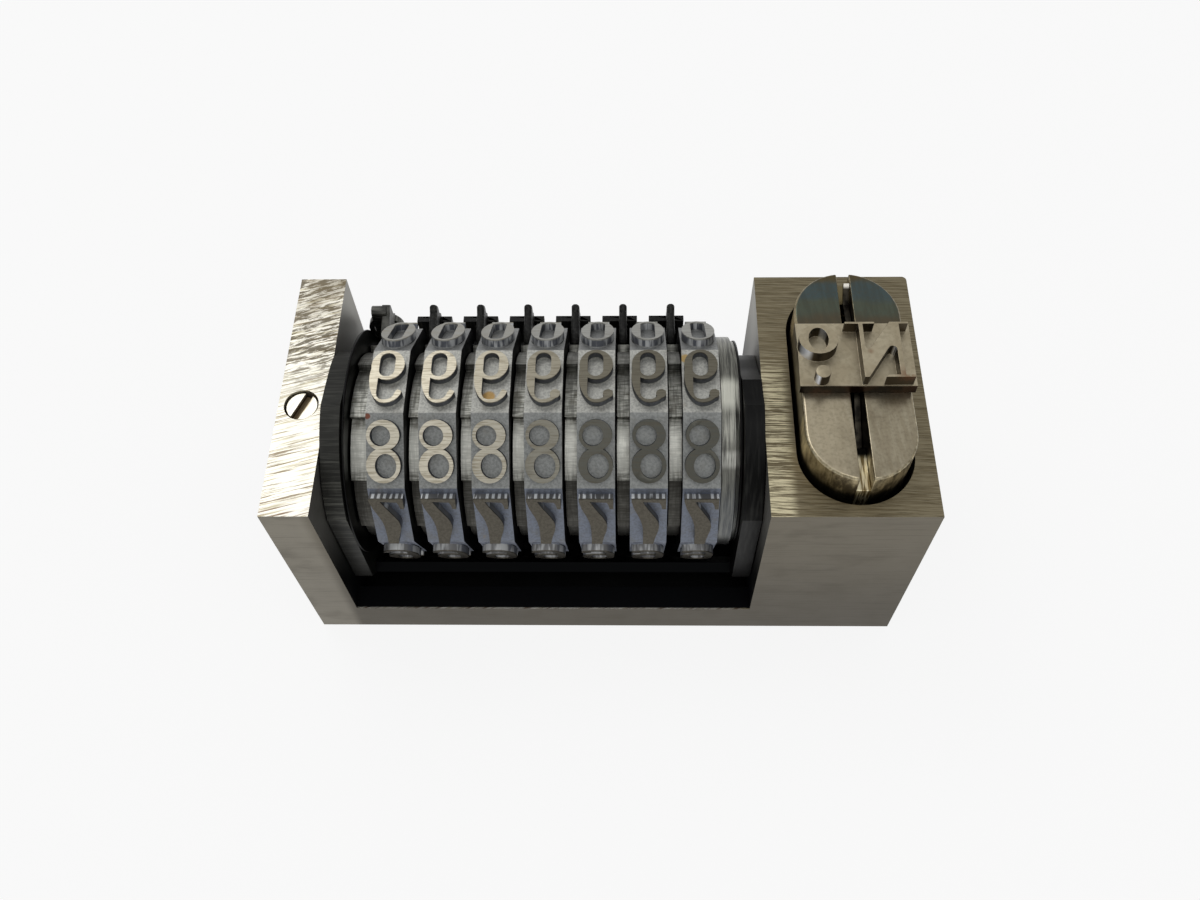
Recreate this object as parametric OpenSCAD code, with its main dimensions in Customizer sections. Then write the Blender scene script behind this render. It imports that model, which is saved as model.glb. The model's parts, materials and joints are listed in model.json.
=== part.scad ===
// Numbering machine for letterpress printing: a steel case that locks up with the type, seven figure
// wheels in its bay, and a plunger that turns the wheels each time the press pushes it down.
// Millimetres. X runs along the case, Y from front to back, Z up; the origin is the middle of the base.
// Angles round the wheels start at the front and grow upwards, so 90 is the printing line on top.

/* [Case] */
// Length of the case
case_length = 50.8; // [49:0.1:54]
// Depth of the case from front to back
case_depth = 22.55; // [22.4:0.05:24]
// Height of the case
case_height = 21.35; // [20.5:0.05:22]
// Thickness of the left end wall
end_wall = 3.8; // [3.5:0.05:4.5]
// Length of the block that holds the plunger
block_length = 12.65; // [12.4:0.05:13.5]
// Height of the front rail
rail_height = 3.85; // [2.5:0.05:4.2]
// Thickness of the front rail
rail_depth = 2.1; // [1.5:0.05:2.2]
// Height of the sill at the back
sill_height = 1.3; // [1.2:0.05:1.35]
// Height of the wheel shaft above the base
axle_height = 13.56; // [13.4:0.02:13.8]

/* [Figure wheels] */
// Height of a wheel's lowest flat above the base
ground_height = 4.51; // [4.4:0.01:4.8]
// Height of the raised figures above their flats
figure_relief = 0.71; // [0.4:0.01:0.9]
// Width of the lane between two wheels, where a ratchet runs
lane_width = 1.15; // [1.05:0.01:1.4]
// Room between a figure and the two ends of its flat
figure_end_room = 0.48; // [0.4:0.01:0.8]
// Room between a figure and the two sides of its wheel
figure_side_room = 0.13; // [0.05:0.01:0.3]
// Thick stroke of a figure
thick_stroke = 0.75; // [0.5:0.01:0.8]
// Thin stroke of a figure
thin_stroke = 0.3; // [0.2:0.01:0.36]
// Diameter of the wheel shaft
shaft_diameter = 3.25; // [2.6:0.05:3.4]

/* [Ratchets] */
// Gap between a ratchet and the next wheel
ratchet_gap = 0.13; // [0.1:0.01:0.3]
// How far the tips of the teeth lie inside the wheel's flats
tip_drop = 0.92; // [0.85:0.01:1.2]
// Depth of a ratchet tooth
tooth_depth = 0.7; // [0.4:0.05:0.9]
// Depth of the notch that lets the next wheel move
deep_notch = 2.45; // [1.2:0.05:2.6]

/* [Swing] */
// Thickness of a swing arm
arm_thickness = 1.52; // [1.2:0.02:1.6]
// How far the arm's front sector stands out past the wheels' flats
arm_over = 0.7; // [0.4:0.05:0.85]
// How far the arm's hub stays inside the wheels' flats
hub_under = 1.85; // [1.5:0.05:2.4]
// Gap between the arm's foot and the bottom plate
foot_gap = 0.47; // [0.4:0.01:0.6]
// Diameter of the drive pawl's rod
drive_rod_diameter = 0.9; // [0.7:0.05:0.95]

/* [Retaining pawls] */
// Thickness of the fin that reaches in between two wheels
fin_thickness = 0.66; // [0.4:0.02:0.8]
// Gap between two back plates
pawl_plate_gap = 1.03; // [0.8:0.01:1.4]
// Height of the back plates' tops above the shaft
pawl_plate_rise = 2.7; // [2:0.1:3.5]
// Height of the fingertips above their noses
finger_rise = 1.45; // [1:0.05:1.8]
// Diameter of the pawl rod
pawl_rod_diameter = 1.5; // [1.2:0.1:1.6]

/* [Plunger] */
// Width of the plunger
plunger_width = 8.33; // [8:0.01:8.5]
// Wall in front of the plunger's hole
plunger_front_wall = 0.98; // [0.9:0.02:1.4]
// Wall behind the plunger's hole
plunger_back_wall = 1.38; // [1:0.02:1.8]
// Wall at the right of the plunger's hole
plunger_side_wall = 1.47; // [1.2:0.01:1.7]
// Height of the plunger's top above the case at rest
plunger_rise = 2.85; // [2.8:0.05:3.2]
// How far the plunger goes down
plunger_travel = 2.8; // [1.8:0.1:2.8]
// Gap between the plunger's flat sides and its hole
plunger_gap = 0.3; // [0.2:0.01:0.32]
// Gap between the plunger's round ends and its hole
plunger_end_gap = 0.54; // [0.3:0.01:0.6]
// Width of the slot along the plunger's top
top_slot_width = 1.02; // [0.94:0.02:1.2]
// Depth of the slot at its ends
top_slot_depth = 1.63; // [1.2:0.01:2]

/* [Sign plate] */
// Width of the sign plate
sign_width = 8.74; // [8.7:0.02:8.9]
// Depth of the sign plate from front to back
sign_depth = 5.84; // [5.6:0.02:6.2]
// Thickness of the sign plate
sign_thickness = 0.91; // [0.7:0.01:1.1]
// Height of the raised letters
letter_relief = 1.07; // [0.8:0.01:1.2]

/* [Springs] */
// Outer diameter of a plunger spring
plunger_spring_diameter = 3; // [2.6:0.1:3.3]
// Wire of a plunger spring
plunger_spring_wire = 0.5; // [0.4:0.05:0.55]
// Curls of a plunger spring
plunger_spring_curls = 8; // [6:1:9]
// Wire of the small pawl springs
pawl_spring_wire = 0.24; // [0.2:0.01:0.27]

/* [Hidden] */
WHEELS = 7;
FIGURES = 10;
STEP = 360 / FIGURES;
RINGS = 8;
SIDES = 6;
OVAL = 24;
$fn = 48;
// Fits and gaps
fit = 0.03;
side_gap = 0.05;
overrun = 0.4;
sliver = 0.1;
// Case
wall_x = -case_length / 2 + end_wall;
block_x = case_length / 2 - block_length;
front_y = -case_depth / 2;
back_y = case_depth / 2;
corner_round = 0.4;
base_plate = 1.02;
base_rim = 0.6;
base_gap = 0.05;
base_screw_radius = 0.55;
base_head_radius = 0.95;
base_screw_end = 3.5;
base_screw_sink = 0.03;
base_screw_slot = 0.24;
base_screw_in = 1.9;
left_screw_in = 3.6;
right_screw_in = 1.7;
lock_in = 1.97;
lock_y = -1.38;
lock_head_radius = 1.24;
lock_head_height = 0.95;
lock_head_sink = 0.2;
lock_hole_radius = 1.38;
lock_shank_radius = 0.7;
lock_slot = 0.62;
lock_slot_depth = 0.5;
lock_slot_turn = 67;
// Wheels and ratchets: the swing's arms, the wheels and the collar fill the bay between wall and block
shaft_radius = shaft_diameter / 2;
shaft_inset = 0.11;
left_room = 0.78;
collar_width = 1.53;
ring_thickness = 0.15;
left_arm_x = wall_x + 2 * side_gap;
right_arm_x = block_x - 2 * side_gap - arm_thickness;
ring_x = right_arm_x - side_gap - ring_thickness;
collar_x = ring_x - collar_width;
first_face = left_arm_x + arm_thickness + left_room;
last_face = collar_x - side_gap;
wheel_pitch = (last_face - first_face) / WHEELS;
wheel_width = wheel_pitch - lane_width;
ratchet_width = lane_width - ratchet_gap;
first_wheel = first_face + lane_width + wheel_width / 2;
ground_radius = axle_height - ground_height;
figure_width = wheel_width - 2 * figure_side_room;
figure_height = 2 * (ground_radius * tan(STEP / 2) - figure_end_room);
figure_sweep = norm([ground_radius + figure_relief, figure_height / 2]);
tip_radius = ground_radius - tip_drop;
boss_radius = 3.05;
notch_angle = -36;
notch_turn = 10;
flank_parts = 4;
plain_wheels = 3;
first_ratchet_extra = 0.53;
disc_thickness = 0.2;
disc_over = 0.4;
disc_x = left_arm_x + arm_thickness + side_gap;
collar_under = 0.31;
collar_radius = ground_radius - collar_under;
collar_step = 0.35;
ring_under = 0.62;
// Swing
arm_radius = ground_radius + arm_over;
hub_radius = ground_radius - hub_under;
foot_radius = axle_height - base_plate - foot_gap;
arm_flat = front_y + rail_depth - side_gap;
arm_front_angle = 19;
foot_front = 7.4;
bar_angle = -48;
bar_inset = 0.71;
bar_radius = foot_radius - bar_inset;
bar_half = 0.46;
bar_turn = 3.5;
tenon_radius = 0.4;
comb_hub_radius = 0.75;
rod_angle = -97;
rod_radius = foot_radius - comb_hub_radius;
comb_thickness = 0.6;
comb_out = bar_radius;
comb_in = comb_out - comb_thickness;
comb_tooth = 0.76;
comb_end_gap = 0.3;
comb_short = 0.2;
comb_left = left_arm_x + arm_thickness + comb_end_gap;
comb_right = last_face - comb_short;
nose_gap = 0.15;
stud_radius = 0.6;
stud_y = -3.95;
stud_slack = 0.06;
stud_window = 0.12;
stud_reach = 1.4;
// Retaining pawls: the rod sits in the case's ends, the plates stand clear behind the figures
pawl_in = 1.37;
pawl_y = back_y - pawl_in;
pawl_z = 2.95;
pawl_hub_radius = 1.17;
pawl_hub_left = 1.52;
pawl_spring_space = 1.64;
pawl_hub_width = wheel_pitch - pawl_spring_space;
pawl_plate_left = 1.83;
pawl_plate_width = wheel_pitch - pawl_plate_gap;
pawl_plate_top = axle_height + pawl_plate_rise;
pawl_plate = 0.6;
pawl_clearance = 0.56;
pawl_back = figure_sweep + pawl_clearance + pawl_plate;
pawl_neck = 4.78;
pawl_ring_out = 1.53;
pawl_ring_in = 1.05;
pawl_ring_aside = 0.62;
pawl_ring_drop = 0.98;
pawl_rod_seat = 1.22;
wide_finger = 1.28;
wide_finger_left = 1.23;
nose_angle = 28;
nose_z = axle_height + (tip_radius + nose_gap) * sin(nose_angle);
coil_room = 0.1;
// Plunger
plunger_x = case_length / 2 - plunger_side_wall - plunger_gap - plunger_width / 2;
plunger_y = (plunger_front_wall - plunger_back_wall) / 2;
hole_length = case_depth - plunger_front_wall - plunger_back_wall;
plunger_length = hole_length - 2 * plunger_end_gap;
plunger_bottom = 5.08;
plunger_top = case_height + plunger_rise;
edge_break = 0.16;
pocket_from_front = 5.18;
pocket_from_back = 3.86;
pocket_front = front_y + pocket_from_front;
pocket_back = back_y - pocket_from_back;
pocket_depth = 3.05;
spring_in = 3.91;
spring_apart = plunger_length / 2 - spring_in;
spring_top = 15.25;
spring_room = 0.25;
// Sign plate and the wire under it
sign_from_front = 9.04;
sign_front = front_y + sign_from_front;
wire_radius = 0.22;
wire_aside = 0.24;
wire_x = plunger_x + wire_aside;
wire_start = 0.6;
wire_tail = 1.02;
letter_height = 5.08;
letter_in = 0.11;
letter_n_left = -0.93;
letter_n_width = 5.07;
small_o_x = -2.855;
small_o_in = 3.59;
small_o_width = 2.96;
small_o_height = 2.72;
small_o_hole_width = 1.5;
small_o_hole_height = 2.08;
dot_x = -2.74;
dot_in = 0.63;
dot_radius = 0.57;

steel = [0.62, 0.60, 0.56];
bright = [0.74, 0.73, 0.70];
dark = [0.16, 0.16, 0.16];
wheel_grey = [0.52, 0.52, 0.53];

// Left to right: the middle of a wheel, and of the lane on its left where its ratchet runs
function wheel_x(k) = first_wheel + (k - 1) * wheel_pitch;
function lane_x(k) = wheel_x(k) - wheel_width / 2 - ratchet_width / 2;
// A point at a radius and an angle round the wheel shaft, as seen along X
function round_shaft(r, a) = [-r * cos(a), axle_height + r * sin(a)];
function ring_points(table) = [for (p = table) round_shaft(p[0], p[1])];
// A curve of points, one stroke of a figure as a closed outline, and the width that its slant gives it
function curve(c, r, a, n) = [for (i = [0:n]) let (u = a[0] + (a[1] - a[0]) * i / n)
    [c[0] + r[0] * cos(u), c[1] + r[1] * sin(u)]];
function oval(c, r) = [for (i = [0:OVAL - 1]) [c[0] + r[0] * cos(360 * i / OVAL),
    c[1] + r[1] * sin(360 * i / OVAL)]];
function along(path, i) = path[min(i + 1, len(path) - 1)] - path[max(i - 1, 0)];
function slant(path) = [for (i = [0:len(path) - 1]) let (d = along(path, i))
    thin_stroke + (thick_stroke - thin_stroke) * pow(abs(d[1]) / norm(d), 1.5)];
function stroke_side(path, widths, side) = [for (i = [0:len(path) - 1]) let (d = along(path, i))
    path[i] + [-d[1], d[0]] / norm(d) * widths[i] * side / 2];
function backwards(list) = [for (i = [len(list) - 1:-1:0]) list[i]];
function stroke(path, widths) = concat(stroke_side(path, widths, 1),
    backwards(stroke_side(path, widths, -1)));
function sized(shares, w, h) = [for (p = shares) [p[0] * w, p[1] * h]];

// An outline seen along X, made as thick as w, starting at x
module across(x, w) {
    translate([x, 0, 0])
        rotate([90, 0, 90])
            linear_extrude(w)
                children();
}
// A round bar along X
module bar(x0, x1, y, z, r) {
    translate([x0, y, z])
        rotate([0, 90, 0])
            cylinder(h = x1 - x0, r = r);
}
module shaft_bar(x0, x1, r) {
    bar(x0, x1, 0, axle_height, r);
}
// A bar along Z with two flat sides and two round ends
module long_round(w, l, z0, z1) {
    translate([plunger_x, plunger_y, z0]) {
        translate([0, (l - w) / 2, 0])
            cylinder(h = z1 - z0, r = w / 2);
        translate([0, (w - l) / 2, 0])
            cylinder(h = z1 - z0, r = w / 2);
        translate([-w / 2, (w - l) / 2, 0])
            cube([w, l - w, z1 - z0]);
    }
}

// Case
module base_screw_places() {
    for (s = [-1, 1]) {
        translate([-case_length / 2 + base_screw_in, s * (back_y - left_screw_in), 0])
            children();
        translate([case_length / 2 - base_screw_in, s * (back_y - right_screw_in), 0])
            children();
    }
}
module lock_screw_place() {
    translate([wall_x - lock_in, lock_y, 0])
        children();
}
module frame() {
    color(steel)
        difference() {
            translate([-case_length / 2, front_y, 0])
                cube([case_length, case_depth, case_height]);
            across(wall_x, block_x - wall_x)
                polygon([[front_y + rail_depth, -overrun], [back_y - rail_depth, -overrun],
                    [back_y - rail_depth, sill_height], [back_y + overrun, sill_height],
                    [back_y + overrun, case_height + overrun],
                    [front_y - overrun, case_height + overrun], [front_y - overrun, rail_height],
                    [front_y + rail_depth, rail_height]]);
            translate([-case_length / 2 + base_rim, front_y + base_rim, -overrun])
                cube([case_length - 2 * base_rim, case_depth - 2 * base_rim, base_plate + overrun]);
            long_round(plunger_width + 2 * plunger_gap, hole_length, -overrun, case_height + overrun);
            shaft_bar(-case_length / 2 - overrun, plunger_x, shaft_radius);
            bar(wall_x - pawl_rod_seat, block_x + pawl_rod_seat, pawl_y, pawl_z, pawl_rod_diameter / 2);
            stud_room(block_x - overrun, plunger_x, stud_window);
            base_screw_places()
                cylinder(h = base_screw_end + sliver, r = base_screw_radius);
            translate([case_length / 2 - corner_round, back_y - corner_round, -overrun])
                difference() {
                    cube([corner_round + overrun, corner_round + overrun, case_height + 2 * overrun]);
                    cylinder(h = case_height + 2 * overrun, r = corner_round);
                }
            lock_screw_place() {
                translate([0, 0, case_height - lock_head_sink - lock_head_height])
                    cylinder(h = case_height, r = lock_hole_radius);
                translate([0, 0, axle_height])
                    cylinder(h = case_height - axle_height, r = lock_shank_radius);
            }
        }
}
// The upright window in the block's wall that the stud slides in
module stud_room(x0, x1, slack) {
    bar(x0, x1, stud_y, axle_height + plunger_travel / 2, stud_radius + slack);
    bar(x0, x1, stud_y, axle_height - plunger_travel / 2, stud_radius + slack);
    translate([x0, stud_y - stud_radius - slack, axle_height - plunger_travel / 2])
        cube([x1 - x0, 2 * (stud_radius + slack), plunger_travel]);
}
module bottom_plate() {
    rim = base_rim + base_gap;
    color(steel)
        difference() {
            translate([-case_length / 2 + rim, front_y + rim, 0])
                cube([case_length - 2 * rim, case_depth - 2 * rim, base_plate]);
            base_screw_places() {
                translate([0, 0, -overrun])
                    cylinder(h = 2 * base_plate, r = base_screw_radius);
                translate([0, 0, -overrun])
                    cylinder(h = overrun + base_screw_sink + base_head_radius - base_screw_radius,
                        r1 = base_head_radius + base_screw_sink + overrun, r2 = base_screw_radius);
            }
        }
}
module bottom_plate_screws() {
    color(bright)
        base_screw_places()
            difference() {
                union() {
                    translate([0, 0, base_screw_sink])
                        cylinder(h = base_head_radius - base_screw_radius, r1 = base_head_radius,
                            r2 = base_screw_radius);
                    translate([0, 0, base_screw_sink + sliver])
                        cylinder(h = base_screw_end - base_screw_sink - sliver, r = base_screw_radius);
                }
                translate([-base_head_radius - overrun, -base_screw_slot / 2, -overrun])
                    cube([2 * (base_head_radius + overrun), base_screw_slot,
                        overrun + base_screw_sink + base_screw_slot]);
            }
}
module wheel_shaft() {
    color(bright)
        shaft_bar(-case_length / 2 + shaft_inset, plunger_x - plunger_width / 2 - plunger_gap
            - shaft_inset, shaft_radius);
}
module shaft_lock_screw() {
    head_top = case_height - lock_head_sink;
    // The flat end stops on the shaft, at the side of its shank that is nearest the axis
    end_z = axle_height + sqrt(pow(shaft_radius, 2) - pow(lock_y + lock_shank_radius, 2));
    color(bright)
        lock_screw_place()
            difference() {
                union() {
                    translate([0, 0, head_top - lock_head_height])
                        cylinder(h = lock_head_height, r = lock_head_radius);
                    translate([0, 0, end_z])
                        cylinder(h = head_top - lock_head_height / 2 - end_z, r = lock_shank_radius);
                }
                translate([0, 0, head_top - lock_slot_depth])
                    rotate([0, 0, lock_slot_turn])
                        translate([-2 * lock_head_radius, -lock_slot / 2, 0])
                            cube([4 * lock_head_radius, lock_slot, lock_slot_depth + overrun]);
            }
}

// Figures, drawn the way they read; the wheel carries them mirrored. The nine and the six end in a
// point on the first wheels and in a ball on the others
module ball(c) {
    polygon(oval(c, [thick_stroke, thick_stroke] * 0.52));
}
// A hole with straight sides and round ends
module long_hole(c, r) {
    polygon(concat(curve(c + [0, r[1] - r[0]], [r[0], r[0]], [0, 180], OVAL / 2),
        curve(c - [0, r[1] - r[0]], [r[0], r[0]], [180, 360], OVAL / 2)));
}
// A ring: middle and radii of its outside and of its hole, as shares of the figure's width and height
module loop(shares) {
    s = sized(shares, figure_width, figure_height);
    difference() {
        polygon(oval(s[0], s[1]));
        polygon(oval(s[2], s[3]));
    }
}
module flat_bar(x0, x1, y0, y1) {
    translate([x0, y0])
        square([x1 - x0, y1 - y0]);
}
module figure(d, ball_tail) {
    w = figure_width;
    h = figure_height;
    t = thin_stroke;
    thick = thick_stroke;
    if (d == 0)
        difference() {
            polygon(oval([0, 0], [w, h] / 2));
            long_hole([0, 0], [w / 2 - thick, h / 2 - thin_stroke]);
        }
    if (d == 1) {
        flat_bar(-thick / 2, thick / 2, -h / 2, h / 2);
        flat_bar(-w / 3, w / 3, -h / 2, -h / 2 + t);
        polygon(concat([[thick / 2, h / 2]], sized(one_shares, w, h)));
    }
    if (d == 2) {
        hook = concat(curve([0, h * 0.21], [w * 0.38, h * 0.29 - t / 2], [155, -25], 10),
            sized(two_shares, w, h));
        polygon(stroke(hook, slant(hook)));
        ball([-w * 0.29, h * 0.29]);
        polygon(sized(two_foot_shares, w, h));
    }
    if (d == 3) {
        top = curve([-w * 0.05, h * 0.25], [w * 0.37, h * 0.25 - t / 2], [145, -95], 10);
        low = curve([-w * 0.05, -h * 0.23], [w * 0.41, h * 0.27 - t / 2], [95, -150], 10);
        polygon(stroke(top, slant(top)));
        polygon(stroke(low, slant(low)));
        ball([-w * 0.29, h * 0.35]);
        ball([-w * 0.33, -h * 0.33]);
    }
    if (d == 4) {
        flat_bar(w * 0.02, w * 0.02 + thick, -h / 2, h / 2);
        flat_bar(-w / 2, w / 2, -h * 0.25, -h * 0.25 + t);
        flat_bar(-w * 0.14, w * 0.44, -h / 2, -h / 2 + t);
        polygon(sized(four_shares, w, h));
    }
    if (d == 5) {
        low = curve([-w * 0.06, -h * 0.18], [w * 0.4, h * 0.32 - t / 2], [140, -150], 12);
        polygon(stroke(low, slant(low)));
        flat_bar(-w * 0.4, -w * 0.4 + t, -h * 0.02, h / 2);
        polygon(sized(five_shares, w, h));
        ball([-w * 0.33, -h * 0.34]);
    }
    if (d == 6)
        rotate(180)
            figure(9, ball_tail);
    if (d == 7) {
        polygon(sized(seven_shares, w, h));
        polygon(sized(seven_leg_shares, w, h));
    }
    if (d == 8) {
        loop(eight_top_shares);
        loop(eight_low_shares);
    }
    if (d == 9) {
        difference() {
            union() {
                polygon(oval([0, h * 0.215], [w * 0.49, h * 0.285]));
                polygon(concat(curve([0, 0], [w, h] / 2, [90, -90], 16),
                    curve([0, -h * 0.244], [w * 0.5, h * 0.256], [-100, -170], 7),
                    sized(nine_inside_shares, w, h)));
            }
            long_hole([w * 0.02, h * 0.2215], [w * 0.2285, h * 0.2256]);
        }
        if (ball_tail)
            ball([-w * 0.352, -h * 0.335]);
    }
}
// Corners of the straight parts, as shares of a figure's width and height
one_shares = [[-0.1, 0.5], [-0.36, 0.41], [-0.36, 0.36], [-0.1, 0.38]];
two_shares = [[0.12, 0], [-0.16, -0.22], [-0.38, -0.4]];
two_foot_shares = [[-0.46, -0.5], [0.42, -0.5], [0.5, -0.24], [0.4, -0.26], [0.3, -0.36],
    [-0.32, -0.36], [-0.46, -0.42]];
four_shares = [[0.16, 0.5], [0.02, 0.5], [-0.5, -0.2], [-0.5, -0.25], [-0.4, -0.25], [0.1, 0.42]];
five_shares = [[-0.4, 0.5], [0.36, 0.5], [0.28, 0.37], [-0.4, 0.37]];
seven_shares = [[-0.5, 0.5], [0.5, 0.5], [0.5, 0.44], [0.1, 0.44], [-0.31, 0.425], [-0.36, 0.37],
    [-0.39, 0.285], [-0.5, 0.285]];
seven_leg_shares = [[0.5, 0.45], [0.43, 0.3], [0.355, 0.2], [0.275, 0.1], [0.215, 0], [0.177, -0.1],
    [0.163, -0.2], [0.157, -0.35], [0.157, -0.5], [-0.157, -0.5], [-0.185, -0.4], [-0.235, -0.3],
    [-0.29, -0.2], [-0.312, -0.1], [-0.28, 0], [-0.19, 0.1], [-0.07, 0.2], [0.04, 0.3], [0.13, 0.39],
    [0.2, 0.46]];
eight_top_shares = [[0, 0.254], [0.482, 0.246], [0.08, 0.246], [0.3, 0.162]];
eight_low_shares = [[0, -0.221], [0.5, 0.279], [-0.067, -0.23], [0.313, 0.195]];
nine_inside_shares = [[-0.37, -0.25], [-0.3, -0.3], [-0.265, -0.36], [-0.2, -0.41], [-0.1, -0.437],
    [0.04, -0.443], [0.15, -0.423], [0.215, -0.383], [0.247, -0.32], [0.247, 0.1]];

// Wheels
module figure_wheel(k) {
    corner = ground_radius / cos(STEP / 2);
    color(wheel_grey)
        difference() {
            union() {
                across(wheel_x(k) - wheel_width / 2, wheel_width)
                    polygon([for (i = [0:FIGURES - 1]) round_shaft(corner, i * STEP)]);
                for (d = [0:9])
                    translate([wheel_x(k), 0, axle_height])
                        rotate([STEP * (9 - d), 0, 0])
                            translate([0, 0, ground_radius - sliver])
                                linear_extrude(figure_relief + sliver)
                                    mirror([1, 0])
                                        figure(d, k > plain_wheels);
            }
            shaft_bar(wheel_x(k) - wheel_width, wheel_x(k) + wheel_width, shaft_radius + fit);
        }
}
// The back of a tooth, from its tip inwards, over so many degrees
function tooth(j, turn) = [for (s = [0:flank_parts]) let (t = turn * s / flank_parts)
    round_shaft(tip_radius - tooth_depth * t / STEP, notch_angle + j * STEP + t)];
// The first ratchet has no wheel on its left and is wider
module ratchet(k) {
    width = ratchet_width + (k == 1 ? first_ratchet_extra : 0);
    left = wheel_x(k) - wheel_width / 2 - width;
    notch_in = tip_radius - deep_notch;
    color(bright)
        difference() {
            union() {
                across(left, width)
                    polygon(concat(
                        [for (j = [0:FIGURES - 2]) each tooth(j, STEP)],
                        tooth(FIGURES - 1, STEP - notch_turn),
                        ring_points([[notch_in, notch_angle - notch_turn], [notch_in, notch_angle]])));
                shaft_bar(left - ratchet_gap + side_gap, left + sliver, boss_radius);
            }
            shaft_bar(left - wheel_width, left + wheel_width, shaft_radius + fit);
        }
}
module shaft_washer(x0, x1, r, tint) {
    color(tint)
        difference() {
            shaft_bar(x0, x1, r);
            shaft_bar(x0 - overrun, x1 + overrun, shaft_radius);
        }
}
module end_disc() {
    shaft_washer(disc_x, disc_x + disc_thickness, ground_radius + disc_over, dark);
}
module end_collar() {
    color(bright)
        difference() {
            union() {
                shaft_bar(collar_x, ring_x - collar_step, collar_radius);
                shaft_bar(collar_x, ring_x, collar_radius - collar_step);
            }
            shaft_bar(collar_x - overrun, ring_x + overrun, shaft_radius);
        }
}
module thrust_ring() {
    shaft_washer(ring_x, right_arm_x - side_gap, ground_radius - ring_under, dark);
}

// Swing
right_back_shares = [[0.948, 80], [0.896, 92], [0.781, 105]];
left_back_shares = [[0.98, 78], [0.955, 82], [0.935, 87], [0.917, 92], [0.905, 100], [0.895, 108],
    [0.87, 117], [0.82, 125]];
module arm_outline(back_shares, back_from) {
    polygon(concat(
        [for (a = [arm_front_angle:4:75]) round_shaft(arm_radius, a)],
        [for (p = back_shares) round_shaft(p[0] * arm_radius, p[1])],
        [for (a = [back_from:10:235]) round_shaft(hub_radius, a)],
        [for (a = [-106, -101, -96, -88, -80, -72, -64, -56, -48])
            round_shaft(a < -104 ? foot_radius * 0.94 : foot_radius, a)],
        [[arm_flat, axle_height - foot_front], [arm_flat, axle_height + arm_radius * sin(arm_front_angle)]]));
}
module swing_arm(x, back_shares, back_from) {
    difference() {
        across(x, arm_thickness)
            arm_outline(back_shares, back_from);
        shaft_bar(x - overrun, x + arm_thickness + overrun, shaft_radius + fit);
        at_angle(rod_radius, rod_angle, x - overrun, x + arm_thickness + overrun,
            drive_rod_diameter / 2);
        at_angle(bar_radius, bar_angle, x - overrun, x + arm_thickness + overrun, tenon_radius);
    }
}
module at_angle(r, a, x0, x1, rod) {
    bar(x0, x1, round_shaft(r, a)[0], round_shaft(r, a)[1], rod);
}
module left_swing_arm() {
    color(dark)
        swing_arm(left_arm_x, left_back_shares, 140);
}
// The right arm has a slot that points at the shaft; the plunger's stud turns the swing in it
module right_swing_arm() {
    rest = atan(plunger_travel / 2 / -stud_y);
    reach = norm([stud_y, plunger_travel / 2]);
    slot = stud_radius + stud_slack;
    color(dark)
        difference() {
            swing_arm(right_arm_x, right_back_shares, 115);
            at_angle(-stud_y, rest, right_arm_x - overrun, right_arm_x + arm_thickness + overrun, slot);
            at_angle(reach, rest, right_arm_x - overrun, right_arm_x + arm_thickness + overrun, slot);
            across(right_arm_x - overrun, arm_thickness + 2 * overrun)
                translate([0, axle_height])
                    rotate(-rest)
                        translate([-reach, -slot])
                            square([reach + stud_y, 2 * slot]);
        }
}
module swing_tie_bar() {
    inner = left_arm_x + arm_thickness;
    color(dark)
        union() {
            across(inner, right_arm_x - inner)
                polygon(ring_points([[bar_radius - bar_half, bar_angle - bar_turn],
                    [bar_radius - bar_half, bar_angle + bar_turn],
                    [bar_radius + bar_half, bar_angle + bar_turn],
                    [bar_radius + bar_half, bar_angle - bar_turn]]));
            at_angle(bar_radius, bar_angle, left_arm_x, right_arm_x + arm_thickness, tenon_radius);
        }
}
module drive_pawl_rod() {
    color(bright)
        at_angle(rod_radius, rod_angle, left_arm_x, right_arm_x + arm_thickness,
            drive_rod_diameter / 2);
}
// One comb that turns on the rod, with a tooth for each ratchet
module drive_pawl() {
    tip = tip_radius + nose_gap;
    color(dark)
        difference() {
            union() {
                at_angle(rod_radius, rod_angle, comb_left, comb_right, comb_hub_radius);
                across(comb_left, comb_right - comb_left)
                    polygon(ring_points(concat([for (a = [-97:7:-62]) [comb_in, a]],
                        [for (a = [-62:-7:-97]) [comb_out, a]])));
                for (k = [1:WHEELS])
                    across(lane_x(k) - comb_tooth / 2 - (ratchet_gap) / 2, comb_tooth)
                        polygon(ring_points([[comb_out, -62], [comb_out, -74], [comb_in, -74],
                            [(tip + comb_in) / 2, -66], [tip, -60.5], [tip + nose_gap, -58.5]]));
            }
            at_angle(rod_radius, rod_angle, comb_left - overrun, comb_right + overrun,
                drive_rod_diameter / 2 + fit);
        }
}

// Retaining pawls: a hub on the rod, a back plate and a fin with a nose that holds the ratchet
// Corners as shares of the way from the back of the plate to the nose, and of the nose's height;
// above 1 they are shares of the fingertip's rise over the nose
fin_shares = [[0.15, 0.325], [0.3, 0.52], [0.35, 0.826], [1, 1], [0.74, 1.5], [0.36, 1.71], [0.27, 1.93],
    [0.2, 2], [0.145, 1.79], [0.125, 0.989], [0.02, 0.965], [0.02, 0.325]];
finger_shares = [[0.15, 0.325], [0.3, 0.52], [0.34, 0.823], [0.43, 1.05], [0.43, 1.6], [0.4, 1.84],
    [0.33, 2], [0.25, 2], [0.18, 1.85], [0.15, 1.5], [0.15, 0.974], [0.02, 0.942], [0.02, 0.325]];
module pawl_blade(x, w, shares) {
    reach = pawl_back - (tip_radius + nose_gap) * cos(nose_angle);
    across(x, w)
        polygon([for (p = shares) [pawl_back - p[0] * reach,
            min(p[1], 1) * nose_z + max(p[1] - 1, 0) * finger_rise]]);
}
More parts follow.
